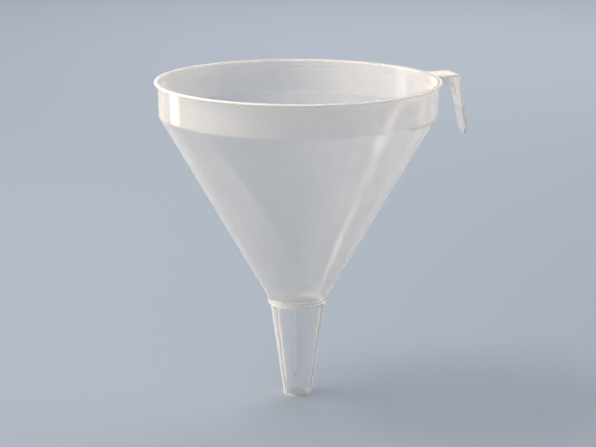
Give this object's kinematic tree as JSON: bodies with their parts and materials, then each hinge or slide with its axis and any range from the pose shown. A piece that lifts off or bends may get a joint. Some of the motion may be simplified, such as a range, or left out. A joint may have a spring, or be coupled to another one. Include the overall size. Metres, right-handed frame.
{
  "type": "funnel with hook handle",
  "caption": "Moulded translucent plastic funnel with an upright rim band, a steep cone, a tapered stem ribbed inside, and a hook handle on the rim.",
  "frame": {"origin": "centre of the stem's open end, on the flat ring that it stands on", "axes": "+Z along the funnel's axis from the stem's end to the rim, +X towards the hook"},
  "size_m": [0.2254, 0.2, 0.2261],
  "materials": {
    "natural_plastic": "smooth moulded natural polypropylene, milky and translucent"
  },
  "bodies": {
    "root": {"funnel": "natural_plastic"}
  },
  "joints": []
}
